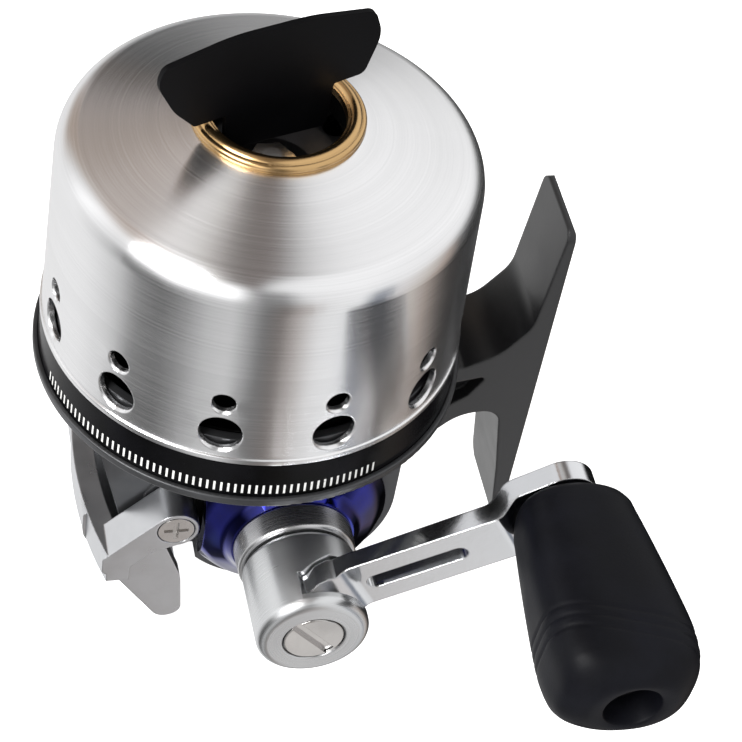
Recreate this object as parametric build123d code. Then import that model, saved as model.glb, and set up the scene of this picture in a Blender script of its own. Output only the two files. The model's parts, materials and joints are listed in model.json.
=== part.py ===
from build123d import *
import os
from math import atan2, cos, degrees, radians, sin, sqrt

os.makedirs("parts", exist_ok=True)

# A closed-face fishing reel. It is drawn about its spool axis: +Z towards the nose, +X towards the rod,
# handle on the -Y side, height 0 at the front cover's rim. save() then moves every piece so that the
# origin is the middle of the foot's seat, where the rod touches the reel. All sizes are in millimetres.

# Foot
FOOT_SEAT_X = 50.9
FOOT_FRONT_Z = 21.0
FOOT_REAR_Z = -52.0
FOOT_HALF_WIDTH = 7.9
ORIGIN = Pos(-FOOT_SEAT_X, 0, -(FOOT_FRONT_Z + FOOT_REAR_Z) / 2)

# Fits
RUNNING_GAP = 0.05

# Front cover
COVER_RADIUS = 35.0
COVER_TOP_RADIUS = 33.8
SHOULDER_Z = 36.2
NOSE_Z = 41.9
COVER_WALL = 1.2
RING_RADIUS = 13.7
THROAT_RADIUS = 10.7
HOLE_COUNT = 12
HOLE_FIRST_ANGLE = -18.45
BIG_HOLE_RADIUS = 3.5
BIG_HOLE_Z = 6.0
SMALL_HOLE_RADIUS = 1.9
SMALL_HOLE_Z = 12.7
BIG_HOLE_CHAMFER_R = 34.45
SMALL_HOLE_CHAMFER_R = 34.28

# Frame
FLANGE_RADIUS = 36.3
BAND_SEAT_RADIUS = 35.5
DECK_TOP_Z = -7.7
DECK_BOTTOM_Z = -10.0
RIM_RADIUS = 33.3
RIM_TOP_Z = 3.5
POST_RADIUS = 6.5
POST_TOP_Z = 9.5
CASE_RADIUS = 19.5
CASE_HALF_WIDTH = 19.0
CAVITY_RADIUS = 16.5
SIDE_SCREW_CIRCLE = 17.7
NARROW_HALF_WIDTH = 14.2
STEP_X = -9.2

# Crank line, parallel to Y, set off from the spool axis so that the centre shaft passes it
CRANK_X = 5.5
CRANK_Z = -30.5
ARM_ANGLE = 28.5
CRANK_RADIUS = 46.5
HANDLE_SHAFT_RADIUS = 2.95

# Drive gear and pinion, crossed axes
GEAR_TEETH = 41
PINION_TEETH = 10
GEAR_PITCH_RADIUS = 14.4
GEAR_FACE = (12.8, 15.8)
GEAR_TIP = 3.39
GEAR_ROOT = 4.64
GEAR_BACK = 8.0
MESH_HEIGHT = sqrt(GEAR_PITCH_RADIUS ** 2 - CRANK_X ** 2)
MESH_Z = CRANK_Z + MESH_HEIGHT
HELIX_COS = MESH_HEIGHT / GEAR_PITCH_RADIUS
PINION_PITCH_RADIUS = PINION_TEETH * GEAR_PITCH_RADIUS / (GEAR_TEETH * HELIX_COS)
PINION_TIP_RADIUS = PINION_PITCH_RADIUS + 0.65
PINION_ROOT_RADIUS = 3.1
PINION_Z = (-19.4, -14.9)
SLEEVE_RADIUS = 3.5
SLEEVE_TOP_Z = 10.0
SHAFT_RADIUS = 1.95
SHAFT_FLAT = 1.55
SHAFT_Z = (-51.0, 33.6)

# Drag
DIAL_TEETH = 13
DRAG_RING_TEETH = 50
DRAG_MODULE = 0.8
DRAG_GEAR_Z = (-7.5, -6.2)
DIAL_DISTANCE = DRAG_MODULE * (DIAL_TEETH + DRAG_RING_TEETH) / 2
DIAL_ANGLE = 135
DIAL_RADIUS = 12.2
DIAL_Z = (-14.4, -10.6)

# Spool and spinner head
SPOOL_Z = (-3.1, 12.0)
SPOOL_REAR_RADIUS = 27.0
SPOOL_FRONT_RADIUS = 22.8
SPOOL_CORE_RADIUS = 14.0
SPINNER_RADIUS = 25.2
SPINNER_Z = (15.0, 34.5)
PIN_Z = 24.0
PIN_RADIUS = 1.2

# Thumb lever
PIVOT_X = -13.7
PIVOT_Z = -31.7
LEVER_INNER = 15.0
LEVER_OUTER = 22.0
PAD_HALF_WIDTH = 12.0
FINGER_GAP = 0.3

# Anti-reverse
RATCHET_TEETH = 12
RATCHET_RADIUS = 9.0
RATCHET_Y = (8.2, 10.4)
PAWL_X = -6.5
PAWL_Z = -24.5


def save(name, shape):
    export_step(ORIGIN * shape, "parts/" + name + ".step")


def cylinder_z(radius, low, high, x=0, y=0):
    return Pos(x, y, (low + high) / 2) * Cylinder(radius, high - low)


def ring_z(outer, inner, low, high, x=0, y=0):
    return cylinder_z(outer, low, high, x, y) - cylinder_z(inner, low - 1, high + 1, x, y)


def cylinder_y(radius, low, high, x, z):
    return Pos(x, (low + high) / 2, z) * Rot(90, 0, 0) * Cylinder(radius, high - low)


def block(x_range, y_range, z_range):
    sizes = [high - low for low, high in (x_range, y_range, z_range)]
    middle = [(high + low) / 2 for low, high in (x_range, y_range, z_range)]
    return Pos(*middle) * Box(*sizes)


def outline(corners):
    """A closed outline from (u, v, corner radius)."""
    points = [(u, v) for u, v, _ in corners]
    return make_face(FilletPolyline(*points, radius=[r for _, _, r in corners], close=True))


def turned(corners):
    """A solid of revolution about Z from (radius, height, corner radius)."""
    return revolve(Plane.XZ * outline(corners), axis=Axis.Z)


def slab(corners, low, high):
    """A plate with its outline (x, z, corner radius) and its faces at y = low and y = high."""
    return extrude(Plane.XZ.offset(-high) * outline(corners), amount=high - low)


def on_crank(shape, angle=0):
    """Place a shape drawn with +Z outwards along the handle and X along the arm."""
    return Pos(CRANK_X, 0, CRANK_Z) * Rot(90, 0, 0) * Rot(0, 0, angle) * shape


def rim_points(count, radius, first=0):
    return [(radius * cos(radians(first + 360 * k / count)), radius * sin(radians(first + 360 * k / count)))
            for k in range(count)]


def spur_outline(teeth, module, first_angle):
    """A spur gear outline with straight flanks and generous backlash."""
    pitch = teeth * module / 2
    tip = pitch + 0.8 * module
    root = pitch - 1.05 * module
    points = []
    for k in range(teeth):
        angle = radians(first_angle + 360 * k / teeth)
        for r, t in ((root, -0.85), (tip, -0.38), (tip, 0.38), (root, 0.85)):
            side = t * module
            points.append((r * cos(angle) - side * sin(angle), r * sin(angle) + side * cos(angle)))
    return make_face(Polyline(*points, close=True))


# ---- front cover, ring and line keeper ----

def front_cover():
    wall = COVER_WALL
    shell = turned([
        (COVER_RADIUS + 0.3, 0, 0.2), (COVER_RADIUS + 0.3, 1.0, 0.3), (COVER_RADIUS - 0.05, 1.2, 0),
        (COVER_TOP_RADIUS, SHOULDER_Z, 5.0), (RING_RADIUS - 0.6, NOSE_Z, 0),
        (RING_RADIUS - 0.6, NOSE_Z - wall, 0), (COVER_TOP_RADIUS - wall, SHOULDER_Z - wall, 3.9),
        (COVER_RADIUS - wall, 0, 0)])
    for k in range(HOLE_COUNT):
        turn = Rot(0, 0, HOLE_FIRST_ANGLE - 90 + 360 * k / HOLE_COUNT)
        for radius, height, chamfer in ((BIG_HOLE_RADIUS, BIG_HOLE_Z, BIG_HOLE_CHAMFER_R),
                                        (SMALL_HOLE_RADIUS, SMALL_HOLE_Z, SMALL_HOLE_CHAMFER_R)):
            shell -= turn * Pos(COVER_RADIUS, 0, height) * Rot(0, 90, 0) * Cylinder(radius, 8)
            shell -= turn * Pos(chamfer + 0.75, 0, height) * Rot(0, 90, 0) * Cone(radius, radius + 1.5, 1.5)
    return shell


def line_guide_ring():
    seat = RING_RADIUS - 0.6
    ring = turned([
        (THROAT_RADIUS, NOSE_Z - 4.0, 0.3), (THROAT_RADIUS, NOSE_Z + 1.3, 0.3),
        (RING_RADIUS - 1.0, NOSE_Z + 1.0, 0.3), (RING_RADIUS + 0.1, NOSE_Z + 0.1, 0),
        (seat, NOSE_Z, 0), (seat, NOSE_Z - COVER_WALL, 0), (RING_RADIUS, NOSE_Z - COVER_WALL - 0.2, 0),
        (RING_RADIUS - 0.4, NOSE_Z - 4.0, 0.3)])
    for radius, height, bead in ((13.1, NOSE_Z + 0.72, 0.7), (12.1, NOSE_Z + 0.8, 1.1)):
        ring += Pos(0, 0, height) * Torus(radius, bead)
    return ring


def line_keeper():
    """A thin plate that stands across the ring: a tongue in the throat and two wings above the rim."""
    plate = outline([
        (-21.3, 53.8, 4.0), (-20.2, 56.7, 1.6), (-9.0, 59.5, 30), (4.0, 60.0, 30), (14.6, 58.7, 2.0),
        (16.4, 54.0, 6.0), (14.2, 46.8, 1.6), (9.0, 46.1, 0.4), (8.6, 37.8, 1.0), (-9.0, 37.8, 1.0),
        (-9.4, 44.8, 0.4), (-14.6, 44.2, 0.8), (-18.2, 48.0, 8.0)])
    return Rot(0, 0, 17) * extrude(Plane.XZ * plate, amount=0.5, both=True)


# ---- frame, band and foot ----

def case_outline_solid(half_width, radius):
    """The gear case: a drum about the crank line, carried up to the deck."""
    drum = cylinder_y(radius, -half_width, half_width, CRANK_X, CRANK_Z)
    neck = block((-14.0, CRANK_X + radius), (-half_width, half_width), (CRANK_Z, DECK_BOTTOM_Z))
    return drum + neck


def dial_place():
    return (DIAL_DISTANCE * cos(radians(DIAL_ANGLE)), DIAL_DISTANCE * sin(radians(DIAL_ANGLE)))


def reel_frame():
    dial_x, dial_y = dial_place()
    body = turned([
        (0, DECK_BOTTOM_Z, 0), (33.0, DECK_BOTTOM_Z, 0.3), (33.4, -9.1, 0.3), (FLANGE_RADIUS, -9.1, 0.6),
        (FLANGE_RADIUS, DECK_TOP_Z + 0.4, 0.3), (BAND_SEAT_RADIUS, DECK_TOP_Z + 0.4, 0),
        (BAND_SEAT_RADIUS, DECK_TOP_Z, 0), (0, DECK_TOP_Z, 0)])
    body += ring_z(RIM_RADIUS, RIM_RADIUS - 1.5, DECK_TOP_Z, RIM_TOP_Z)
    body += cylinder_z(POST_RADIUS, DECK_TOP_Z, POST_TOP_Z)
    body += case_outline_solid(CASE_HALF_WIDTH, CASE_RADIUS)
    body += slab([(-28.6, DECK_BOTTOM_Z, 0), (-22.0, -37.6, 5.0), (-14.0, -44.6, 5.0), (0.0, -46.0, 0),
                  (0.0, DECK_BOTTOM_Z, 0)], -NARROW_HALF_WIDTH, NARROW_HALF_WIDTH)
    body += block((20.0, 25.6), (-8.5, 8.5), (-38.0, DECK_BOTTOM_Z))
    # The case steps in beside the thumb lever's arms
    for side in (-1, 1):
        low, high = sorted((side * NARROW_HALF_WIDTH, side * 30.0))
        body -= block((-30.0, STEP_X), (low, high), (-60.0, DECK_BOTTOM_Z))
    # Gear cavity, hollow behind the lever pivot, and the way in for the lever's finger
    body -= cylinder_y(CAVITY_RADIUS, -30, 30, CRANK_X, CRANK_Z)
    body -= block((-21.0, -8.0), (-11.0, 11.0), (-37.0, -14.0))
    body -= block((-9.5, 10.0), (-5.0, 5.0), (-53.0, -43.0))
    # Pinion, ball bearing and bushing seats on the spool axis
    body -= cylinder_z(PINION_TIP_RADIUS + 1.5, -20.5, -13.5)
    body -= cylinder_z(6.2, -13.6, -10.5)
    body -= cylinder_z(4.2, -10.6, POST_TOP_Z + 1)
    # Drag dial slot and shaft hole
    body -= cylinder_z(DIAL_RADIUS + 0.5, DIAL_Z[0] - 0.4, DIAL_Z[1] + 0.5, dial_x, dial_y)
    body -= cylinder_z(1.5 + RUNNING_GAP, DIAL_Z[1], DECK_TOP_Z + 1, dial_x, dial_y)
    # Lever pivot bosses with their screw holes
    for side in (-1, 1):
        low, high = sorted((side * 8.0, side * (NARROW_HALF_WIDTH + 0.4)))
        body += cylinder_y(4.6, low, high, PIVOT_X, PIVOT_Z)
        low, high = sorted((side * 9.0, side * 16.0))
        body -= cylinder_y(1.6, low, high, PIVOT_X, PIVOT_Z)
    for z in FOOT_SCREW_Z:
        body -= Pos(24, 0, z) * Rot(0, 90, 0) * Cylinder(1.5, 12)
        body -= Pos(20.9, 0, z) * Rot(0, 90, 0) * Cylinder(2.8, 4)
    for x, z in side_screw_places():
        body -= cylinder_y(0.85, 8.0, 20.0, x, z)
    return body


FOOT_SCREW_Z = (-17.0, -32.0)


def label_band():
    return turned([
        (RIM_RADIUS + 0.05, DECK_TOP_Z, 0), (COVER_RADIUS + 0.45, DECK_TOP_Z, 0.3),
        (COVER_RADIUS + 0.1, -0.15, 0.15), (RIM_RADIUS + 0.05, -0.15, 0)])


def reel_foot():
    foot = slab([
        (FOOT_SEAT_X, FOOT_FRONT_Z, 0.8), (49.6, FOOT_FRONT_Z + 0.2, 0.4), (47.5, -1.0, 8.0),
        (42.6, -7.4, 8.0), (36.9, -10.15, 0), (25.6, -10.15, 0), (25.6, -37.5, 0), (30.0, -30.5, 8.0),
        (38.0, -22.3, 8.0), (45.2, -21.6, 3.5), (47.6, -38.0, 20.0), (49.1, FOOT_REAR_Z + 0.4, 0.5),
        (FOOT_SEAT_X, FOOT_REAR_Z, 0.8)], -FOOT_HALF_WIDTH, FOOT_HALF_WIDTH)
    plan = extrude(Plane.YZ.offset(20) * outline([
        (-FOOT_HALF_WIDTH, FOOT_REAR_Z, 4.0), (FOOT_HALF_WIDTH, FOOT_REAR_Z, 4.0),
        (FOOT_HALF_WIDTH, FOOT_FRONT_Z, 2.2), (-FOOT_HALF_WIDTH, FOOT_FRONT_Z, 2.2)]), amount=40)
    foot = foot & plan
    for side in (-1, 1):
        low, high = sorted((side * (FOOT_HALF_WIDTH - 2.6), side * (FOOT_HALF_WIDTH + 1)))
        foot -= slab([(33.8, -14.2, 0.6), (41.6, -12.6, 0.6), (38.6, -17.6, 0.6), (33.8, -21.0, 0.6)],
                     low, high)
    for z in FOOT_SCREW_Z:
        foot -= Pos(27.6, 0, z) * Rot(0, 90, 0) * Cylinder(1.2, 8)
    return foot


def foot_screws():
    screws = []
    for z in FOOT_SCREW_Z:
        screw = Pos(25.5, 0, z) * Rot(0, 90, 0) * Cylinder(1.2, 9.0)
        screw += Pos(22.1, 0, z) * Rot(0, 90, 0) * Cylinder(2.5, 1.6)
        screw -= block((20.9, 21.9), (-0.4, 0.4), (z - 1.8, z + 1.8))
        screws.append(screw)
    return Compound(children=screws)


# ---- side covers ----

def side_screw_places():
    spots = []
    for angle in (35, 235, 325):
        spots.append((CRANK_X + SIDE_SCREW_CIRCLE * cos(radians(angle)),
                      CRANK_Z + SIDE_SCREW_CIRCLE * sin(radians(angle))))
    return spots


def right_side_cover():
    """A domed cover, drawn from the crank line outwards."""
    dome = turned([
        (0, 19.05, 0), (17.6, 19.05, 0), (17.6, 20.4, 1.2), (15.6, 23.0, 6.0), (11.8, 25.4, 3.0),
        (10.6, 27.0, 0), (0, 27.0, 0)])
    dome -= turned([(0, 18.0, 0), (15.6, 18.0, 0), (15.6, 20.0, 1.0), (13.9, 22.0, 4.0), (8.2, 23.6, 0),
                    (0, 23.6, 0)])
    dome += ring_z(CAVITY_RADIUS - 0.1, 15.0, 17.6, 19.4)
    dome += cylinder_z(7.2, 20.0, 24.0)
    dome -= cylinder_z(5.0, 10, 30)
    return on_crank(dome) - block((-30.0, STEP_X), (-40.0, -10.0), (-60.0, 0.0))


def left_side_cover():
    """A plain domed cover. Inside, it holds the left shaft bushing and the pawl's pin."""
    crown = [(19.3, 20.1, 0.2), (15.9, 20.1, 0.3), (15.2, 21.8, 1.6), (12.6, 24.6, 4.0), (0, 26.0, 0)]
    dome = turned([(0, 19.05, 0), (19.3, 19.05, 0)] + crown)
    dome -= turned([(0, 18.0, 0), (14.0, 18.0, 0), (14.0, 20.6, 1.0), (11.6, 22.8, 3.0), (0, 24.2, 0)])
    dome += ring_z(CAVITY_RADIUS - 0.1, 14.0, 17.6, 19.4)
    dome += cylinder_z(5.6, 16.0, 24.8)
    dome -= cylinder_z(4.2, 10, 22.2)
    boss = cylinder_z(2.6, 12.6, 30.0, PAWL_X - CRANK_X, CRANK_Z - PAWL_Z)
    dome += boss & turned([(0, 12.0, 0), (19.3, 12.0, 0)] + crown)
    dome -= cylinder_z(1.2, 12.0, 18.0, PAWL_X - CRANK_X, CRANK_Z - PAWL_Z)
    cover = Pos(CRANK_X, 0, CRANK_Z) * Rot(-90, 0, 0) * dome
    for x, z in side_screw_places():
        cover -= cylinder_y(0.85, 17, 30, x, z)
    return cover - block((-30.0, STEP_X), (10.0, 40.0), (-60.0, 0.0))


def side_cover_screws():
    screws = []
    for x, z in side_screw_places():
        screw = cylinder_y(0.8, 9.0, 20.3, x, z) + cylinder_y(1.45, 20.1, 21.1, x, z)
        screw -= block((x - 1.0, x + 1.0), (20.6, 22), (z - 0.2, z + 0.2))
        screw -= block((x - 0.2, x + 0.2), (20.6, 22), (z - 1.0, z + 1.0))
        screws.append(screw)
    return Compound(children=screws)


def right_shaft_bushing():
    bushing = ring_z(5.0, HANDLE_SHAFT_RADIUS + RUNNING_GAP, 20.0, 31.0)
    return on_crank(bushing + ring_z(7.0, HANDLE_SHAFT_RADIUS + RUNNING_GAP, 18.4, 20.0))


def left_shaft_bushing():
    return cylinder_y(4.2, 16.2, 22.2, CRANK_X, CRANK_Z) - cylinder_y(
        HANDLE_SHAFT_RADIUS + RUNNING_GAP, 15.0, 23.0, CRANK_X, CRANK_Z)


def handle_collar():
    """The fixed silver collar that is screwed on to the bushing and clamps the side cover."""
    return on_crank(turned([
        (5.0, 27.0, 0), (10.3, 27.0, 0.3), (10.1, 31.8, 0.7), (5.0, 31.8, 0)]))


# ---- handle ----

def handle_shaft():
    shaft = cylinder_z(HANDLE_SHAFT_RADIUS, -22.0, 40.4) - cylinder_z(2.0, 30.0, 41.0)
    return on_crank(shaft)


def drive_gear():
    gear = ring_z(GEAR_FACE[1] + 0.1, HANDLE_SHAFT_RADIUS, GEAR_ROOT, GEAR_BACK - 1.0)
    gear += ring_z(6.5, HANDLE_SHAFT_RADIUS, GEAR_ROOT, GEAR_BACK + 2.0)
    tooth_plane = Plane(origin=(GEAR_FACE[0], 0, 0), x_dir=(0, 1, 0), z_dir=(1, 0, 0))
    root = GEAR_ROOT + 0.1
    tooth_face = make_face(Polyline((-0.55, root), (0.55, root), (0.3, GEAR_TIP), (-0.3, GEAR_TIP), close=True))
    tooth = extrude(tooth_plane * tooth_face, amount=GEAR_FACE[1] - GEAR_FACE[0])
    mesh_angle = degrees(atan2(MESH_HEIGHT, -CRANK_X))
    teeth = [Rot(0, 0, mesh_angle + 360 * k / GEAR_TEETH) * tooth for k in range(GEAR_TEETH)]
    lightening = [Pos(x, y, 6) * Cylinder(1.6, 8) for x, y in rim_points(6, 9.6)]
    return on_crank(gear + teeth - lightening)


def ratchet_wheel():
    """Saw-tooth wheel on the handle shaft, its steep flanks facing against winding."""
    points = []
    for k in range(RATCHET_TEETH):
        step = 360 / RATCHET_TEETH
        for radius, angle in ((RATCHET_RADIUS, k * step), (RATCHET_RADIUS - 2.0, k * step + 0.12 * step)):
            points.append((radius * cos(radians(angle)), radius * sin(radians(angle))))
    wheel = extrude(make_face(Polyline(*points, close=True)), amount=RATCHET_Y[1] - RATCHET_Y[0])
    wheel += cylinder_z(5.0, -2.0, 0.5)
    wheel -= cylinder_z(HANDLE_SHAFT_RADIUS, -5, 5)
    return Pos(CRANK_X, RATCHET_Y[1], CRANK_Z) * Rot(90, 0, 0) * wheel


def anti_reverse_pawl():
    hub = cylinder_y(2.5, RATCHET_Y[0], RATCHET_Y[1], PAWL_X, PAWL_Z)
    beak = slab([(PAWL_X - 0.9, PAWL_Z + 2.3, 0), (PAWL_X + 4.3, PAWL_Z + 4.7, 1.0),
                 (PAWL_X + 8.9, PAWL_Z + 4.8, 0.3), (PAWL_X + 8.7, PAWL_Z + 3.4, 0.2),
                 (PAWL_X + 5.0, PAWL_Z + 1.9, 1.0), (PAWL_X + 2.0, PAWL_Z - 1.4, 0)],
                RATCHET_Y[0], RATCHET_Y[1])
    return hub + beak - cylinder_y(1.2 + RUNNING_GAP, 0, 20, PAWL_X, PAWL_Z)


def pawl_pin():
    return cylinder_y(1.2, RATCHET_Y[0] - 0.6, 18.0, PAWL_X, PAWL_Z) + cylinder_y(
        2.0, RATCHET_Y[0] - 1.4, RATCHET_Y[0] - 0.1, PAWL_X, PAWL_Z)


def crank_hub():
    hub = turned([
        (HANDLE_SHAFT_RADIUS, 32.2, 0), (9.2, 32.2, 0.2), (9.7, 33.0, 0.3), (9.5, 47.4, 1.7), (5.3, 47.4, 0.2),
        (5.3, 45.6, 0), (HANDLE_SHAFT_RADIUS, 45.6, 0)])
    slot_side = outline([
        (2.1, 40.4, 0), (3.0, 40.4, 0), (7.2, 37.2, 0), (14.0, 37.2, 0), (14.0, 44.8, 0), (2.1, 44.8, 0)])
    slot = extrude(Plane.XZ.offset(-12) * slot_side, amount=24)
    pocket = block((-6.2, 3.0), (-5.7, 5.7), (40.5, 44.7))
    return on_crank(hub - slot - pocket, ARM_ANGLE)


ARM_HALF_WIDTH = 5.6
ARM_HEAD_RADIUS = 9.3
EYE_W = (35.9, 39.7)
WINDOW_X = (12.6, 27.0)


def crank_arm():
    """A flat bar with a long slot: its wide head fills the hub's slot, and its eye carries the knob."""
    side = outline([
        (-6.0, 40.6, 0.3), (3.2, 40.6, 2.0), (7.4, 37.6, 3.0), (35.2, 38.9, 3.0), (38.6, EYE_W[0], 4.0),
        (56.0, EYE_W[0], 0.3), (56.0, EYE_W[1], 0.3), (39.6, EYE_W[1], 2.0), (36.4, 42.6, 3.0),
        (8.8, 40.8, 4.0), (2.8, 44.6, 1.5), (-6.0, 44.6, 0.3)])
    bar = extrude(Plane.XZ.offset(-8) * side, amount=16)
    plan = cylinder_z(5.6, 20, 60) + cylinder_z(ARM_HALF_WIDTH, 20, 60, CRANK_RADIUS) + block(
        (0, CRANK_RADIUS), (-ARM_HALF_WIDTH, ARM_HALF_WIDTH), (20, 60))
    plan += cylinder_z(ARM_HEAD_RADIUS, 20, 60) & block((2.4, 12), (-10, 10), (20, 60))
    bar = bar & plan
    bar -= cylinder_z(2.0, 30, 50) + cylinder_z(2.4, 30, 50, CRANK_RADIUS)
    window = block(WINDOW_X, (-1.7, 1.7), (30, 50))
    for end in WINDOW_X:
        window += cylinder_z(1.7, 30, 50, end)
    return on_crank(bar - window, ARM_ANGLE)


def handle_screw():
    screw = cylinder_z(2.0, 31.0, 45.7) + cylinder_z(5.05, 45.6, 47.4)
    screw = fillet(screw.edges().group_by(Axis.Z)[-1], 0.25)
    screw -= block((-6, 6), (-0.95, 0.95), (46.6, 48))
    return on_crank(screw, -49)


KNOB_W = (40.4, 82.0)


def knob_stud():
    stud = cylinder_z(2.4, EYE_W[0], 76.0) + cylinder_z(3.6, EYE_W[1], EYE_W[1] + 0.6)
    return on_crank(Pos(CRANK_RADIUS, 0, 0) * stud, ARM_ANGLE)


def knob_nut():
    nut = extrude(RegularPolygon(3.6, 6), amount=2.4) - Cylinder(2.4, 12)
    return on_crank(Pos(CRANK_RADIUS, 0, 73.4) * nut, ARM_ANGLE)


def handle_knob():
    """A soft grip with a rounded-square section that swells towards its domed end."""
    low, high = KNOB_W
    stations = ((low, 13.0, 12.4), (low + 2.2, 16.4, 15.6), (low + 10.0, 20.4, 19.2), (low + 22.0, 23.2, 21.6),
                (low + 31.5, 24.8, 23.2), (low + 36.6, 22.6, 20.8), (high, 14.5, 12.8))
    sections = [Pos(0, 0, w) * RectangleRounded(wide, deep, 0.36 * deep) for w, wide, deep in stations]
    knob = loft(sections)
    knob -= cylinder_z(2.4 + RUNNING_GAP, low - 1, high + 1) + cylinder_z(4.6, 73.2, high + 1)
    return on_crank(Pos(CRANK_RADIUS, 0, 0) * knob, ARM_ANGLE)


# ---- pinion, bearing and centre shaft ----

def flatted_rod(radius, flat, low, high):
    return cylinder_z(radius, low, high) & block((-flat, flat), (-radius, radius), (low, high))


def pinion_gear():
    low, high = PINION_Z
    twist_rate = -CRANK_X / MESH_HEIGHT / PINION_PITCH_RADIUS
    gap_angle = -90 + degrees(twist_rate * (low - MESH_Z))
    points = []
    for k in range(PINION_TEETH):
        angle = radians(gap_angle + 360 * (k + 0.5) / PINION_TEETH)
        for r, t in ((PINION_ROOT_RADIUS, -0.62), (PINION_TIP_RADIUS, -0.28), (PINION_TIP_RADIUS, 0.28),
                     (PINION_ROOT_RADIUS, 0.62)):
            points.append((r * cos(angle) - t * sin(angle), r * sin(angle) + t * cos(angle)))
    section = Pos(0, 0, low) * make_face(Polyline(*points, close=True))
    teeth = Solid.extrude_linear_with_rotation(
        section.face(), (0, 0, low), (0, 0, high - low), degrees(twist_rate * (high - low)))
    gear = Part() + teeth + cylinder_z(SLEEVE_RADIUS, high, SLEEVE_TOP_Z)
    return gear - flatted_rod(SHAFT_RADIUS + RUNNING_GAP, SHAFT_FLAT + RUNNING_GAP, low - 1, SLEEVE_TOP_Z + 1)


def bearing_race(inner, outer, groove):
    race = ring_z(outer, inner, -13.5, -10.6)
    return race - Pos(0, 0, -12.05) * Torus(4.85, groove)


def bearing_balls():
    return Compound(children=[Pos(x, y, -12.05) * Sphere(0.8) for x, y in rim_points(9, 4.85)])


def pinion_bushing():
    return ring_z(4.2, SLEEVE_RADIUS + RUNNING_GAP, 3.5, POST_TOP_Z)


def centre_shaft():
    low, high = SHAFT_Z
    shaft = flatted_rod(SHAFT_RADIUS, SHAFT_FLAT, low, high)
    return shaft - ring_z(3, 1.45, -26.6, -25.8)


def shaft_clip():
    clip = ring_z(3.6, 1.45, -26.55, -25.85)
    return clip - block((-1.3, 1.3), (0, 5), (-27, -25))


def shaft_return_spring():
    pitch = 1.25
    helix = Helix(pitch=pitch, height=4.6, radius=2.7, center=(0, 0, -25.0))
    section = Plane(origin=helix @ 0, z_dir=helix % 0) * Circle(0.28)
    return sweep(section, path=helix)


def spinner_head():
    low, high = SPINNER_Z
    radius = SPINNER_RADIUS
    bell = turned([
        (radius - 1.3, low, 0), (radius, low, 0.4), (radius - 0.3, high - 3.4, 3.0), (17.5, high, 2.0),
        (11.0, high - 1.6, 2.0), (7.0, high - 3.4, 0), (0, high - 3.4, 0), (0, high - 5.6, 0),
        (9.0, high - 5.6, 0), (16.0, high - 1.6, 1.0), (radius - 1.5, high - 3.6, 1.8)])
    bell += cylinder_z(4.6, low + 3.0, high - 4.0)
    bell += block((14.5, radius - 0.6), (-3.0, 3.0), (PIN_Z - 3.0, high - 4.5))
    bell -= Pos(20, 0, PIN_Z) * Rot(0, 90, 0) * Cylinder(PIN_RADIUS + RUNNING_GAP, 14)
    bell -= Pos(15.0, 0, PIN_Z) * Rot(0, 90, 0) * Cylinder(2.0, 6)
    for x, y in rim_points(6, 13.6, 30):
        bell -= cylinder_z(2.4, 20, 40, x, y)
    return bell - flatted_rod(SHAFT_RADIUS, SHAFT_FLAT, 0, 50)


def spinner_nut():
    top = SPINNER_Z[1] - 3.4
    nut = Pos(0, 0, top) * extrude(RegularPolygon(3.8, 6), amount=2.2)
    return nut - flatted_rod(SHAFT_RADIUS, SHAFT_FLAT, 0, 50)


def pickup_pin():
    pin = Pos(21.3, 0, PIN_Z) * Rot(0, 90, 0) * Cylinder(PIN_RADIUS, 13.0)
    pin = fillet(pin.edges().sort_by(Axis.X)[-1], 0.6)
    return pin + Pos(15.4, 0, PIN_Z) * Rot(0, 90, 0) * Cylinder(1.9, 1.2)


def pin_spring():
    """A flat spring leaf screwed under the head, behind the pin's button."""
    leaf = block((10.4, 10.8), (-1.6, 1.6), (PIN_Z - 1.8, SPINNER_Z[1] - 5.6))
    return leaf + block((10.4, 13.4), (-1.6, 1.6), (SPINNER_Z[1] - 6.0, SPINNER_Z[1] - 5.6))


# ---- spool and drag ----

def spool():
    low, high = SPOOL_Z
    return turned([
        (POST_RADIUS + RUNNING_GAP, low, 0), (SPOOL_REAR_RADIUS, low, 0.5), (SPOOL_REAR_RADIUS, low + 1.4, 0.5),
        (SPOOL_CORE_RADIUS, low + 1.9, 1.0), (SPOOL_CORE_RADIUS, high - 1.9, 1.0),
        (SPOOL_FRONT_RADIUS, high - 1.4, 0.5), (SPOOL_FRONT_RADIUS, high, 0.5), (12.4, high, 0),
        (12.4, 4.0, 1.0), (9.6, 4.0, 0), (9.6, 8.2, 0), (POST_RADIUS + RUNNING_GAP, 8.2, 0)])


def spool_retainer():
    return ring_z(8.8, POST_RADIUS, 8.3, 9.2) - block((-2, 2), (0, 12), (8, 10))


def drag_ring():
    low, high = DRAG_GEAR_Z
    gear = Pos(0, 0, low) * extrude(spur_outline(DRAG_RING_TEETH, DRAG_MODULE, DIAL_ANGLE), amount=high - low)
    gear -= ring_z(19.0, 12.0, high - 0.5, high + 1)
    return gear - cylinder_z(POST_RADIUS + RUNNING_GAP, low - 1, high + 1)


def drag_spring_washer():
    return turned([(9.0, -6.1, 0), (9.6, -6.1, 0), (16.0, -5.6, 0), (16.0, -5.3, 0), (9.0, -5.8, 0)])


def drag_felt():
    return ring_z(20.0, 8.0, -5.2, -4.1)


def drag_plate():
    plate = ring_z(21.0, POST_RADIUS + 0.4, -4.05, -3.2)
    for x, y in rim_points(4, 21.0):
        plate -= cylinder_z(1.5, -5, -3, x, y)
    return plate


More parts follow.
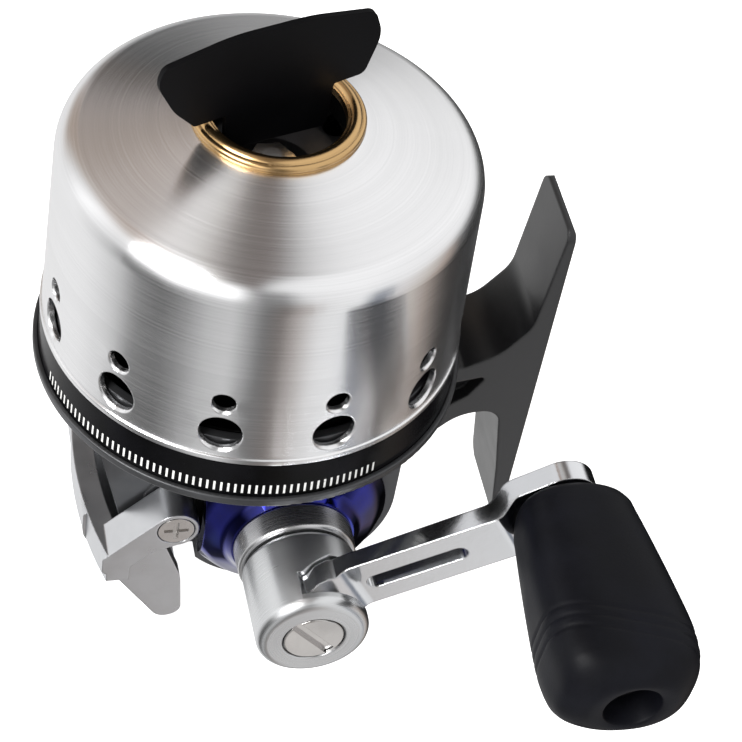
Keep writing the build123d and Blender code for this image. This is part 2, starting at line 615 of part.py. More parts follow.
def drag_dial():
    x, y = dial_place()
    wheel = cylinder_z(DIAL_RADIUS, DIAL_Z[0], DIAL_Z[1])
    wheel = chamfer(wheel.edges().group_by(Axis.Z)[0], 0.5)
    wheel -= [Pos(u, v, (DIAL_Z[0] + DIAL_Z[1]) / 2) * Cylinder(0.55, 6) for u, v in rim_points(36, DIAL_RADIUS)]
    wheel += cylinder_z(1.5, DIAL_Z[1] - 0.5, DRAG_GEAR_Z[0] + 0.2)
    gear = spur_outline(DIAL_TEETH, DRAG_MODULE, DIAL_ANGLE + 180 + 180 / DIAL_TEETH)
    wheel += Pos(0, 0, DRAG_GEAR_Z[0]) * extrude(gear, amount=DRAG_GEAR_Z[1] - DRAG_GEAR_Z[0])
    return Pos(x, y, 0) * wheel


# ---- thumb lever ----

def thumb_lever():
    arm_corners = [
        (PIVOT_X + 1.8, PIVOT_Z + 3.5, 0), (PIVOT_X - 2.6, PIVOT_Z + 3.0, 2.0), (-26.0, -38.4, 1.2),
        (-26.0, -42.2, 1.5), (-23.4, -43.2, 1.5), (-17.5, -37.2, 2.0), (PIVOT_X + 0.5, PIVOT_Z - 3.9, 0)]
    arms = []
    for side in (-1, 1):
        low, high = sorted((side * LEVER_INNER, side * LEVER_OUTER))
        arms.append(slab(arm_corners, low, high) + cylinder_y(3.95, low, high, PIVOT_X, PIVOT_Z))
    bow = ring_z(72.0, 68.2, -44.4, -37.4, x=43.4) & block((-40, -20), (-LEVER_OUTER, LEVER_OUTER), (-60, -30))
    pad = slab([
        (-28.2, -37.6, 1.2), (-28.2, -43.5, 6.0), (-22.5, -55.5, 20.0), (-13.2, -70.2, 2.6),
        (-9.0, -69.0, 2.6), (-9.8, -58.0, 10.0), (-13.2, -48.6, 2.0), (-24.6, -43.6, 2.0), (-24.6, -37.6, 1.0)],
        -PAD_HALF_WIDTH, PAD_HALF_WIDTH)
    pad -= slab([(-20.6, -53.0, 1.0), (-15.4, -63.0, 1.0), (-6.0, -63.0, 0), (-6.0, -51.0, 0),
                 (-14.8, -51.4, 1.0)], -9.4, 9.4)
    finger = block((-20.0, 2.6), (-3.5, 3.5), (-54.6, SHAFT_Z[0] - FINGER_GAP))
    lever = arms[0] + arms[1] + bow + pad + finger
    for side in (-1, 1):
        low, high = sorted((side * (LEVER_INNER - 1), side * (LEVER_OUTER + 1)))
        lever -= cylinder_y(1.6 + RUNNING_GAP, low, high, PIVOT_X, PIVOT_Z)
        low, high = sorted((side * (LEVER_OUTER - 1.6), side * (LEVER_OUTER + 1)))
        lever -= cylinder_y(3.3, low, high, PIVOT_X, PIVOT_Z)
    return lever


def lever_pivot_screws():
    screws = []
    for side in (-1, 1):
        low, high = sorted((side * 9.5, side * (LEVER_OUTER - 1.2)))
        screw = cylinder_y(1.6, low, high, PIVOT_X, PIVOT_Z)
        low, high = sorted((side * (LEVER_OUTER - 1.45), side * LEVER_OUTER))
        head = cylinder_y(3.1, low, high, PIVOT_X, PIVOT_Z)
        low, high = sorted((side * (LEVER_OUTER - 0.8), side * (LEVER_OUTER + 1)))
        head -= block((PIVOT_X - 2.1, PIVOT_X + 2.1), (low, high), (PIVOT_Z - 0.4, PIVOT_Z + 0.4))
        head -= block((PIVOT_X - 0.4, PIVOT_X + 0.4), (low, high), (PIVOT_Z - 2.1, PIVOT_Z + 2.1))
        screws.append(screw + head)
    return Compound(children=screws)


PIECES = {
    "front_cover": front_cover,
    "line_guide_ring": line_guide_ring,
    "line_keeper": line_keeper,
    "reel_frame": reel_frame,
    "label_band": label_band,
    "reel_foot": reel_foot,
    "foot_screws": foot_screws,
    "right_side_cover": right_side_cover,
    "left_side_cover": left_side_cover,
    "side_cover_screws": side_cover_screws,
    "right_shaft_bushing": right_shaft_bushing,
    "left_shaft_bushing": left_shaft_bushing,
    "handle_collar": handle_collar,
    "handle_shaft": handle_shaft,
    "drive_gear": drive_gear,
    "ratchet_wheel": ratchet_wheel,
    "anti_reverse_pawl": anti_reverse_pawl,
    "pawl_pin": pawl_pin,
    "crank_hub": crank_hub,
    "crank_arm": crank_arm,
    "handle_screw": handle_screw,
    "knob_stud": knob_stud,
    "knob_nut": knob_nut,
    "handle_knob": handle_knob,
    "pinion_gear": pinion_gear,
    "bearing_outer_race": lambda: bearing_race(5.3, 6.2, 0.85),
    "bearing_inner_race": lambda: bearing_race(SLEEVE_RADIUS, 4.4, 0.85),
    "bearing_balls": bearing_balls,
    "pinion_bushing": pinion_bushing,
    "centre_shaft": centre_shaft,
    "shaft_clip": shaft_clip,
    "shaft_return_spring": shaft_return_spring,
    "spinner_head": spinner_head,
    "spinner_nut": spinner_nut,
    "pickup_pin": pickup_pin,
    "pin_spring": pin_spring,
    "spool": spool,
    "spool_retainer": spool_retainer,
    "drag_ring": drag_ring,
    "drag_spring_washer": drag_spring_washer,
    "drag_felt": drag_felt,
    "drag_plate": drag_plate,
    "drag_dial": drag_dial,
    "thumb_lever": thumb_lever,
    "lever_pivot_screws": lever_pivot_screws,
}

for name, make in PIECES.items():
    save(name, make())
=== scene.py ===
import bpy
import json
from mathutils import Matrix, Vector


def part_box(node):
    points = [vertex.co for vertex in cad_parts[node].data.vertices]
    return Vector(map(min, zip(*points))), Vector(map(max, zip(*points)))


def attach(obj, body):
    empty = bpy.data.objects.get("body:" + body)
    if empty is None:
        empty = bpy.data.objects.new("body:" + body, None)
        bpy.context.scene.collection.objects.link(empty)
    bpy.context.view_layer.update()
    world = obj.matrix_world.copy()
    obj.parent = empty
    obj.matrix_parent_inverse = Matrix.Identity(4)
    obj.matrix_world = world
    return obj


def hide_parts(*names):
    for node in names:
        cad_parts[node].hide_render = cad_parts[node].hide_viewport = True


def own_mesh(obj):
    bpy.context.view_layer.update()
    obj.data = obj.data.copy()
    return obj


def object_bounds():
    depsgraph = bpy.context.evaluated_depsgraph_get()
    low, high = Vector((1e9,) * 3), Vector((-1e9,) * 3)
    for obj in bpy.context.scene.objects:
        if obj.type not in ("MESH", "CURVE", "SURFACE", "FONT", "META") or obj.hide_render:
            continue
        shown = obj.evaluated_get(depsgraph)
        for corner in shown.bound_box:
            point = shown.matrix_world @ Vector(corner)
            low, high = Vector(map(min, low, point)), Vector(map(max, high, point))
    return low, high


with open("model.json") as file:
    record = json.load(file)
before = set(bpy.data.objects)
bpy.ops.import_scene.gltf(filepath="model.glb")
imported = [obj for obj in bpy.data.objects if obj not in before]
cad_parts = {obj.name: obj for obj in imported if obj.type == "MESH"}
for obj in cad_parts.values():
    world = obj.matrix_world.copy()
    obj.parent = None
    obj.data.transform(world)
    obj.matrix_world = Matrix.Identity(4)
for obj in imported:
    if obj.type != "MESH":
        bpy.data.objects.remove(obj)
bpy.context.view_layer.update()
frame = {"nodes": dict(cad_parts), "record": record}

import json
import math

import bmesh
import bpy
from mathutils import Matrix, Vector

nodes = frame["nodes"]
slot_of = {part["node"]: part["material_slot"] for part in frame["record"]["subparts"]}
MM = 0.001


def middle(node):
    low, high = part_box(node)
    return (low + high) / 2


# The lines that the turned parts are made about
SPOOL_AXIS = Vector((middle("centre_shaft").x, 0, 0))
CRANK_CENTRE = Vector((middle("handle_shaft").x, 0, middle("handle_shaft").z))
KNOB_CENTRE = Vector((middle("knob_stud").x, 0, middle("knob_stud").z))
UP = Vector((0, 0, 1))
OUT = Vector((0, -1, 0))


# ---- shader nodes ----

LINE_ROUGHNESS = 0.6  # of the noise that makes fine lines
BEVEL_SAMPLES = 4
INWARD_FACING = (-0.35, -0.25)  # a face turns from inner to outer between these


class Graph:
    """Shortens the making of shader nodes."""

    def __init__(self, tree):
        self.tree = tree
        tree.nodes.clear()

    def feed(self, node, key, value):
        socket = node.inputs[key]
        if isinstance(value, bpy.types.NodeSocket):
            self.tree.links.new(value, socket)
        else:
            socket.default_value = value

    def node(self, kind, settings=None, inputs=None):
        made = self.tree.nodes.new("ShaderNode" + kind)
        for key, value in (settings or {}).items():
            setattr(made, key, value)
        for key, value in (inputs or {}).items():
            self.feed(made, key, value)
        return made

    def math(self, operation, *values):
        made = self.node("Math", {"operation": operation}, dict(enumerate(values)))
        return made.outputs[0]

    def vector(self, operation, *values):
        made = self.node("VectorMath", {"operation": operation}, dict(enumerate(values)))
        return made.outputs["Value" if operation in ("DOT_PRODUCT", "LENGTH") else "Vector"]

    def place(self):
        """A point's place in the CAD frame, at rest."""
        return self.node("TexCoord").outputs["Object"]

    def split(self, vector):
        return self.node("SeparateXYZ", inputs={0: vector}).outputs

    def between(self, value, low, high, to_low=0.0, to_high=1.0):
        """A smooth step from to_low to to_high as value goes from low to high."""
        made = self.node("MapRange", {"interpolation_type": "SMOOTHSTEP"},
                         {0: value, 1: low, 2: high, 3: to_low, 4: to_high})
        return made.outputs[0]

    def ramp(self, value, stops):
        """A colour ramp; each stop is a position and a grey (one value) or a colour (three)."""
        made = self.node("ValToRGB", inputs={0: value})
        made.color_ramp.interpolation = "LINEAR"
        points = made.color_ramp.elements
        while len(points) < len(stops):
            points.new(0.5)
        for point, (position, colour) in zip(points, stops):
            point.position = position
            point.color = (*colour, 1) if len(colour) == 3 else (*colour * 3, 1)
        return made.outputs[0]

    def mix(self, share, first, second):
        made = self.node("MixRGB", inputs={0: share, 1: first, 2: second})
        return made.outputs[0]

    def noise(self, vector, scale, detail, roughness=0.5):
        made = self.node("TexNoise", inputs={"Vector": vector, "Scale": scale, "Detail": detail,
                                             "Roughness": roughness})
        return made.outputs[0]

    def lines(self, value, scale, detail):
        """Noise along one direction only."""
        made = self.node("TexNoise", {"noise_dimensions": "1D"},
                         {"W": value, "Scale": scale, "Detail": detail, "Roughness": LINE_ROUGHNESS})
        return made.outputs[0]

    def bump(self, height, distance, strength, normal=None):
        made = self.node("Bump", inputs={"Height": height, "Distance": distance, "Strength": strength})
        if normal is not None:
            self.feed(made, "Normal", normal)
        return made.outputs[0]

    def rounded(self, radius):
        """A normal that rounds off sharp edges."""
        return self.node("Bevel", {"samples": BEVEL_SAMPLES}, {"Radius": radius}).outputs[0]

    def about(self, centre, axis):
        """Distance from an axis, height along it, and the direction round it."""
        offset = self.vector("SUBTRACT", self.place(), centre)
        across = self.vector("CROSS_PRODUCT", axis, offset)
        turned = self.node("VectorTransform",
                           {"vector_type": "VECTOR", "convert_from": "OBJECT", "convert_to": "WORLD"},
                           {0: across}).outputs[0]
        radius = self.vector("LENGTH", across)
        height = self.vector("DOT_PRODUCT", axis, offset)
        return radius, height, self.vector("NORMALIZE", turned)

    def inward(self, centre):
        """One on faces that look inward or back, as a cup's inner faces do; the mask for shade painted on
        those faces.
        """
        facing = self.node("TexCoord").outputs["Normal"]
        offset = self.vector("MULTIPLY", self.vector("SUBTRACT", self.place(), centre), (1, 1, 0))
        radial = self.vector("DOT_PRODUCT", facing, self.vector("NORMALIZE", offset))
        least = self.math("MINIMUM", radial, self.split(facing)[2])
        return self.math("SUBTRACT", 1.0, self.between(least, *INWARD_FACING))


def material(name, **constants):
    """A new material: its graph and its Principled shader, with plain values set on the shader's sockets."""
    made = bpy.data.materials.new(name)
    made.use_nodes = True
    graph = Graph(made.node_tree)
    shader = graph.node("BsdfPrincipled")
    output = graph.node("OutputMaterial")
    graph.feed(output, 0, shader.outputs[0])
    for key, value in constants.items():
        socket = shader.inputs[key.replace("_", " ")]
        socket.default_value = (*value, 1) if isinstance(value, tuple) else value
    return made, graph, shader


def finish_shader(graph, shader, colour=None, roughness=None, normal=None, tangent=None):
    for key, value in (("Base Color", colour), ("Roughness", roughness), ("Normal", normal),
                       ("Tangent", tangent)):
        if value is not None:
            graph.feed(shader, key, value)


# ---- materials ----

# Painted shade for the cover's inner faces
INSIDE_PAINTED_SHADE = (0.012, 0.012, 0.013, 1)
# Painted shade for the guide ring's throat
THROAT_PAINTED_SHADE = (0.004, 0.004, 0.004, 1)
THROAT_DEPTH = 2.0 * MM  # below the guide ring's top
THROAT_BLEND = 0.1 * MM


def turned_metal(name, colour, roughness, centre, axis, spread, line_scale, line_depth, streaks, edge=0.25,
                 painted_shade_inside=False, painted_shade_below=None):
    """Lathe-turned metal: fine lines run round the axis and stretch the reflections across them. Inward faces,
    or everything below a given height, can be given near-black painted shade.
    line_depth and edge are in millimetres."""
    made, g, shader = material(name, Metallic=1.0, Anisotropic=spread, Anisotropic_Rotation=0.25)
    radius, height, tangent = g.about(centre, axis)
    along = g.math("SUBTRACT", height, radius)
    fine = g.lines(along, line_scale, 4.0)
    broad = g.lines(along, line_scale / 12, 2.0)
    blotch = g.noise(g.place(), 60.0, 3.0)
    shade = g.math("ADD", g.math("MULTIPLY", fine, streaks), g.math("MULTIPLY", broad, streaks * 0.6))
    dark = tuple(c * (1 - 1.3 * streaks) for c in colour)
    tone = g.mix(g.between(shade, streaks * 0.5, streaks * 1.15), (*dark, 1), (*colour, 1))
    rough = g.math("ADD", g.between(fine, 0.3, 0.7, roughness * 0.9, roughness * 1.08),
                   g.between(blotch, 0.4, 0.7, 0.0, 0.02))
    # Painted shade: faces that look inward, inside the cup, are painted near-black and made rougher
    if painted_shade_inside:
        inner = g.inward(centre)
        tone = g.mix(inner, tone, INSIDE_PAINTED_SHADE)
        rough = g.math("ADD", rough, g.math("MULTIPLY", inner, 0.25))
    # Painted shade: the guide ring's throat below the given height is painted near-black and made rougher
    if painted_shade_below is not None:
        throat_shade = g.between(height, painted_shade_below - THROAT_BLEND, painted_shade_below, 1.0, 0.0)
        tone = g.mix(throat_shade, tone, THROAT_PAINTED_SHADE)
        rough = g.math("ADD", rough, g.math("MULTIPLY", throat_shade, 0.4))
    normal = g.bump(fine, line_depth * MM, 0.6, g.rounded(edge * MM))
    finish_shader(g, shader, tone, rough, normal, tangent)
    return made


def plain_metal(name, colour, roughness, grain=900.0, depth=0.01, edge=0.15, tone_change=0.10,
                rough_change=0.08, **constants):
    """Cast, blasted or plated metal with a fine grain and a slightly uneven polish.
    depth and edge are in millimetres."""
    made, g, shader = material(name, **{"Metallic": 1.0, **constants})
    grain_noise = g.noise(g.place(), grain, 3.0, 0.6)
    patch = g.noise(g.place(), grain / 14, 3.0, 0.55)
    dark = tuple(c * (1 - tone_change) for c in colour)
    tone = g.mix(g.between(patch, 0.35, 0.65), (*dark, 1), (*colour, 1))
    rough = g.between(patch, 0.3, 0.7, roughness, roughness + rough_change)
    normal = g.bump(grain_noise, depth * MM, 0.5, g.rounded(edge * MM))
    finish_shader(g, shader, tone, rough, normal)
    return made


def plastic(name, colour, roughness, grain=1500.0, depth=0.02, edge=0.3, lift=1.5, rough_change=0.1,
            **constants):
    """Moulded plastic, rubber or paint: a fine moulded grain and faint patches.
    depth and edge are in millimetres."""
    made, g, shader = material(name, **constants)
    texture = g.noise(g.place(), grain, 4.0, 0.6)
    patch = g.noise(g.place(), 90.0, 4.0, 0.6)
    light = tuple(min(1.0, c * lift) for c in colour)
    tone = g.mix(g.between(patch, 0.35, 0.75), (*colour, 1), (*light, 1))
    rough = g.between(patch, 0.3, 0.75, roughness, roughness + rough_change)
    normal = g.bump(texture, depth * MM, 0.6, g.rounded(edge * MM))
    finish_shader(g, shader, tone, rough, normal)
    return made


TICK_PITCH = math.radians(1.82)
TICK_SPAN = (math.radians(-78), math.radians(27))
TICK_EDGE = 0.004  # radians
TICK_HALF = (0.32, 0.36)  # where a tick's side lies, as a share of the pitch
TICK_BOTTOM = (1.00 * MM, 1.05 * MM)  # above the band's lower edge
TICK_TOP = (2.95 * MM, 3.00 * MM)
TICK_WHITE = (0.72, 0.72, 0.70, 1)


def label_band_material():
    """Gloss black with a printed row of plain white ticks near its lower edge."""
    made, g, shader = material("label_band_gloss", Specular_IOR_Level=0.07)
    offset = g.split(g.vector("SUBTRACT", g.place(), SPOOL_AXIS))
    angle = g.math("ARCTAN2", offset[0], g.math("MULTIPLY", offset[1], -1.0))
    height = g.math("SUBTRACT", offset[2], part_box("label_band")[0].z)
    cycle = g.math("FRACT", g.math("DIVIDE", angle, TICK_PITCH))
    phase = g.math("ABSOLUTE", g.math("SUBTRACT", cycle, 0.5))
    tick = g.between(phase, *TICK_HALF)
    for limit in (g.between(height, *TICK_BOTTOM),
                  g.between(height, *TICK_TOP, 1.0, 0.0),
                  g.between(angle, TICK_SPAN[0], TICK_SPAN[0] + TICK_EDGE),
                  g.between(angle, TICK_SPAN[1] - TICK_EDGE, TICK_SPAN[1], 1.0, 0.0)):
        tick = g.math("MULTIPLY", tick, limit)
    worn = g.between(g.noise(g.place(), 2500.0, 3.0), 0.25, 0.45, 0.55, 1.0)
    patch = g.noise(g.place(), 120.0, 3.0)
    black = g.mix(g.between(patch, 0.3, 0.7), (0.002, 0.002, 0.002, 1), (0.004, 0.004, 0.005, 1))
    tone = g.mix(g.math("MULTIPLY", tick, worn), black, TICK_WHITE)
    rough = g.math("ADD", g.between(patch, 0.3, 0.7, 0.16, 0.24), g.math("MULTIPLY", tick, 0.2))
    finish_shader(g, shader, tone, rough, g.bump(tick, 0.01 * MM, 0.5, g.rounded(0.2 * MM)))
    return made


def blue_material():
    """Deep blue lacquer over polished metal; the colour goes from near-black to bright blue in soft swirls,
    partly uneven lacquer and partly painted highlight.
    """
    made, g, shader = material("blue_lacquer_painted_streaks", Metallic=1.0, Coat_Weight=0.5, Coat_Roughness=0.03)
    radius, height, _ = g.about(CRANK_CENTRE, OUT)
    swirl = g.noise(g.place(), 70.0, 2.0)
    fine = g.lines(g.math("ADD", radius, height), 1800.0, 3.0)
    # The darker swirl stops are uneven lacquer; the lightest stop is painted highlight, bright blue streaks
    # standing in for reflections
    tone = g.ramp(swirl, [(0.30, (0.002, 0.003, 0.045)), (0.48, (0.006, 0.008, 0.15)),
                          (0.62, (0.020, 0.025, 0.34)), (0.8, (0.10, 0.16, 0.70))])
    rough = g.between(fine, 0.3, 0.7, 0.04, 0.08)
    finish_shader(g, shader, tone, rough, g.bump(swirl, 0.7 * MM, 0.7, g.rounded(0.4 * MM)))
    return made


def felt_material():
    made, g, shader = material("pressed_felt", Sheen_Weight=0.5, Sheen_Roughness=0.6)
    fibre = g.noise(g.place(), 2600.0, 6.0, 0.75)
    tone = g.ramp(fibre, [(0.3, (0.26, 0.23, 0.18)), (0.7, (0.52, 0.48, 0.40))])
    finish_shader(g, shader, tone, g.between(fibre, 0.3, 0.7, 0.85, 1.0), g.bump(fibre, 0.15 * MM, 0.8))
    return made


# One finish for each of the record's material slots
finishes = {
    # The cover gets painted shade on its inner faces
    "turned_aluminium": turned_metal("turned_aluminium", (0.94, 0.94, 0.95), 0.22, SPOOL_AXIS, UP, 0.9,
                                     2400.0, 0.002, 0.06, edge=0.3, painted_shade_inside=True),
    # The gold ring gets painted shade in its throat
    "gold_ring": turned_metal("gold_ring", (0.66, 0.43, 0.20), 0.20, SPOOL_AXIS, UP, 0.3, 3000.0, 0.001, 0.06,
                              painted_shade_below=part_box("line_guide_ring")[1].z - THROAT_DEPTH),
    "black_plate": plastic("black_plate", (0.0020, 0.0020, 0.0025), 0.46, 1800.0, 0.012, 0.2,
                           Specular_IOR_Level=0.08),
    "grey_frame": plain_metal("grey_frame", (0.100, 0.102, 0.107), 0.32, 1400.0, 0.015, 0.3, 0.25, 0.1,
                              Metallic=0.75),
    "band_black": label_band_material(),
    "graphite": plastic("graphite", (0.011, 0.011, 0.012), 0.30, 1600.0, 0.015, 0.7, 1.4, 0.06, Metallic=0.0,
                        Specular_IOR_Level=0.55),
    "screw_steel": plain_metal("screw_steel", (0.78, 0.76, 0.74), 0.13, 700.0, 0.02, 0.12, 0.25),
    "blue_anodised": blue_material(),
    "bronze": plain_metal("bearing_bronze", (0.62, 0.43, 0.20), 0.30, 1200.0, 0.01),
    "satin_silver": plain_metal("satin_silver", (0.72, 0.73, 0.75), 0.27, 2600.0, 0.012, 0.35, 0.06),
    "shaft_steel": plain_metal("ground_steel", (0.60, 0.60, 0.60), 0.22, 2000.0, 0.01),
    "gear_zinc": plain_metal("gear_zinc", (0.52, 0.53, 0.54), 0.38, 1200.0, 0.02),
    "chrome_bar": plain_metal("chrome_bar", (0.82, 0.83, 0.85), 0.09, 420.0, 0.03, 0.35, 0.08, 0.12),
    "soft_black": plastic("soft_black", (0.0030, 0.0032, 0.0050), 0.44, 2200.0, 0.03, 0.3, 1.8,
                          Specular_IOR_Level=0.13),
    "bearing_steel": plain_metal("bearing_steel", (0.74, 0.74, 0.75), 0.10, 1500.0, 0.004),
    "spring_steel": plain_metal("spring_steel", (0.50, 0.50, 0.50), 0.24, 1500.0, 0.008),
    "spinner_metal": plain_metal("spinner_coat", (0.030, 0.030, 0.032), 0.26, 1500.0, 0.02, 0.3, 0.3,
                                 Metallic=0.8, Specular_IOR_Level=0.3),
    "spool_black": plastic("spool_black", (0.006, 0.006, 0.006), 0.28, Specular_IOR_Level=0.3),
    "dial_black": plastic("dial_black", (0.010, 0.010, 0.010), 0.42, Specular_IOR_Level=0.3),
    "felt": felt_material(),
}
# Nodes that are turned about the crank's axis, whatever their slot
turned_nodes = {
    "handle_collar": turned_metal("collar_turned", (0.66, 0.66, 0.67), 0.27, CRANK_CENTRE, OUT, 0.4, 2600.0,
                                  0.0004, 0.02),
    "crank_hub": turned_metal("hub_turned", (0.74, 0.75, 0.76), 0.29, CRANK_CENTRE, OUT, 0.4, 3200.0, 0.0004,
                              0.02),
}


EDGE_ANGLE = math.radians(32)
WELD_DISTANCE = 1e-6


def smooth(obj):
    """Smooth shading with edges kept where faces meet at an angle."""
    obj.data.polygons.foreach_set("use_smooth", [True] * len(obj.data.polygons))
    if not obj.data.has_custom_normals:
        weld = obj.modifiers.new("weld", "WELD")
        weld.merge_threshold = WELD_DISTANCE
        split = obj.modifiers.new("edges", "EDGE_SPLIT")
        split.split_angle = EDGE_ANGLE


for name, obj in nodes.items():
    chosen = turned_nodes.get(name) or finishes[slot_of[name]]
    if not obj.material_slots:
        obj.data.materials.append(chosen)
    for material_slot in obj.material_slots:
        material_slot.material = chosen
    smooth(obj)


# ---- the knob's grip; lengths are in millimetres, and distances out are from the plane y = 0 ----

ARM_ANGLE = math.atan2(KNOB_CENTRE.z - CRANK_CENTRE.z, KNOB_CENTRE.x - CRANK_CENTRE.x)
KNOB_STATIONS = (  # distance out, half width
    (40.6, 6.8), (41.2, 8.0), (42.6, 9.1), (46.7, 9.75), (54.8, 10.7), (62.9, 11.5), (69.5, 12.0),
    (73.0, 11.9), (75.5, 11.5), (77.4, 10.8), (79.0, 9.4), (80.0, 8.0), (80.4, 7.0))
KNOB_FLATNESS = 0.80  # thickness as a share of width
KNOB_SQUARENESS = 3.4  # power of the section's curve; 2 is an ellipse
KNOB_TURN = math.radians(-32)  # of the section about the knob's own axis, from the arm's direction
SQUARE_START = 4  # the section squares up over this length from the arm's end
SQUARE_END = 6  # and rounds off over this length before the outer end
GROOVES = (68.6, 70.6, 72.7)
GROOVE_SLANT = 0.26
GROOVE_DEPTH = 0.22
GROOVE_WIDTH = 0.36
KNOB_SEGMENTS = 120
KNOB_STEPS = 180
KNOB_X = Vector((math.cos(ARM_ANGLE + KNOB_TURN), 0, math.sin(ARM_ANGLE + KNOB_TURN)))
KNOB_Y = Vector((-KNOB_X.z, 0, KNOB_X.x))
BORE = 2.45  # radius, for the stud
SOCKET = 4.6  # radius, for the nut
SOCKET_FLOOR = 73.2
SOCKET_RIM = ((0, 0.5), (0.15, 0.15), (0.5, 0))  # depth and extra radius, round the socket's mouth


def half_width(w):
    """Half the grip's width at a distance out, on a smooth curve through the stations."""
    for i in range(len(KNOB_STATIONS) - 1):
        if w <= KNOB_STATIONS[i + 1][0]:
            break
    before = KNOB_STATIONS[max(i - 1, 0)]
    a, b = KNOB_STATIONS[i], KNOB_STATIONS[i + 1]
    after = KNOB_STATIONS[min(i + 2, len(KNOB_STATIONS) - 1)]
    span = b[0] - a[0]
    t = (w - a[0]) / span
    enter = (b[1] - before[1]) / (b[0] - before[0]) * span
    leave = (after[1] - a[1]) / (after[0] - a[0]) * span
    return ((2 * t ** 3 - 3 * t ** 2 + 1) * a[1] + (t ** 3 - 2 * t ** 2 + t) * enter
            + (3 * t ** 2 - 2 * t ** 3) * b[1] + (t ** 3 - t ** 2) * leave)


def build_knob():
    """The grip: closed rings from its bore's inner end, over the outside, into the nut's socket."""
    rings = []

    def add_ring(w, wide, deep, power, grooved=False):
        ring = []
        for k in range(KNOB_SEGMENTS):
            a = 2 * math.pi * k / KNOB_SEGMENTS
            reach = ((abs(math.cos(a)) / wide) ** power + (abs(math.sin(a)) / deep) ** power) ** (-1 / power)
            if grooved:
                level = w - GROOVE_SLANT * reach * math.cos(a)
                reach -= sum(GROOVE_DEPTH * math.exp(-((level - g) / GROOVE_WIDTH) ** 2) for g in GROOVES)
            x, y = reach * math.cos(a), reach * math.sin(a)
            ring.append(KNOB_CENTRE + (KNOB_X * x + KNOB_Y * y + OUT * w) * MM)
        rings.append(ring)

    low, high = KNOB_STATIONS[0][0], KNOB_STATIONS[-1][0]
    add_ring(low, BORE, BORE, 2)
    for k in range(KNOB_STEPS + 1):
        w = low + (high - low) * k / KNOB_STEPS
        wide = half_width(w)
        square = min(1, (w - low) / SQUARE_START) * min(1, (high + 1 - w) / SQUARE_END)
        add_ring(w, wide, wide * KNOB_FLATNESS, 2.0 + (KNOB_SQUARENESS - 2.0) * square, True)
    for depth, extra in SOCKET_RIM:
        add_ring(high - depth, SOCKET + extra, SOCKET + extra, 2)
    add_ring(SOCKET_FLOOR, SOCKET, SOCKET, 2)
    add_ring(SOCKET_FLOOR, BORE, BORE, 2)
    mesh = bpy.data.meshes.new("knob_grip")
    bm = bmesh.new()
    made = [[bm.verts.new(p) for p in ring] for ring in rings]
    made.append(made[0])
    for ring, after in zip(made, made[1:]):
        for k in range(KNOB_SEGMENTS):
            j = (k + 1) % KNOB_SEGMENTS
            bm.faces.new((ring[k], after[k], after[j], ring[j]))
    bmesh.ops.recalc_face_normals(bm, faces=bm.faces)
    bm.to_mesh(mesh)
    bm.free()
    obj = bpy.data.objects.new("knob_grip", mesh)
    bpy.context.collection.objects.link(obj)
    mesh.materials.append(finishes["soft_black"])
    smooth(obj)
    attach(obj, "knob")
    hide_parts("handle_knob")


build_knob()


# ---- the return spring ----


def build_return_spring():
    """A copy of the CAD spring, with a mesh of its own, attached to the rotor."""
    node = nodes["shaft_return_spring"]
    obj = bpy.data.objects.new("return_spring", node.data.copy())
    bpy.context.collection.objects.link(obj)
    obj.matrix_world = node.matrix_world.copy()
    smooth(obj)
    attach(obj, "rotor")
    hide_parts("shaft_return_spring")
    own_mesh(obj)


build_return_spring()


# ---- camera ----

CAMERA_PLACE = Vector((-0.11589, -0.24860, 0.27628))
CAMERA_BACK = Vector((-0.22911, -0.64736, 0.72693)).normalized()  # from what it looks at, to it
CAMERA_LEVEL = math.radians(-19.49)  # direction of its level line, in plan
CAMERA_ROLL = math.radians(11.15)
CAMERA_LENS = 105.73
SENSOR_WIDTH = 36


def place_camera():
    camera = bpy.data.objects.new("camera", bpy.data.cameras.new("camera"))
    bpy.context.collection.objects.link(camera)
    level = Vector((math.cos(CAMERA_LEVEL), math.sin(CAMERA_LEVEL), 0))
    level = (level - CAMERA_BACK * level.dot(CAMERA_BACK)).normalized()
    upright = CAMERA_BACK.cross(level)
    right = level * math.cos(CAMERA_ROLL) + upright * math.sin(CAMERA_ROLL)
    upward = CAMERA_BACK.cross(right)
    pose = Matrix((right, upward, CAMERA_BACK)).transposed().to_4x4()
    pose.translation = CAMERA_PLACE
    camera.matrix_world = pose
    camera.data.lens = CAMERA_LENS
    camera.data.sensor_width = SENSOR_WIDTH
    camera.data.clip_start = 0.01
    bpy.context.scene.camera = camera


place_camera()


# ---- floor, light ----

FLOOR_HALF = 3.0
FLOOR_GAP = 0.2 * MM


def build_floor():
    """White paper that glows, so that it stays white; it isn't seen in reflections."""
    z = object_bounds()[0].z - FLOOR_GAP
    mesh = bpy.data.meshes.new("floor")
    corners = [(x * FLOOR_HALF, y * FLOOR_HALF, z) for x, y in ((-1, -1), (1, -1), (1, 1), (-1, 1))]
    mesh.from_pydata(corners, [], [(0, 1, 2, 3)])
    obj = bpy.data.objects.new("floor", mesh)
    bpy.context.collection.objects.link(obj)
    made, g, shader = material("floor_paper", Roughness=0.9, Emission_Strength=0.9)
    shader.inputs["Emission Color"].default_value = (1, 1, 1, 1)
    grain = g.noise(g.place(), 40.0, 3.0)
    finish_shader(g, shader, g.mix(grain, (0.86, 0.86, 0.86, 1), (0.90, 0.90, 0.90, 1)))
    mesh.materials.append(made)
    obj.visible_glossy = False


LOW_TO_MID = (-0.05, 0.22)  # heights of the direction where one band of the studio gives way to the next
MID_TO_HIGH = (0.62, 0.85)


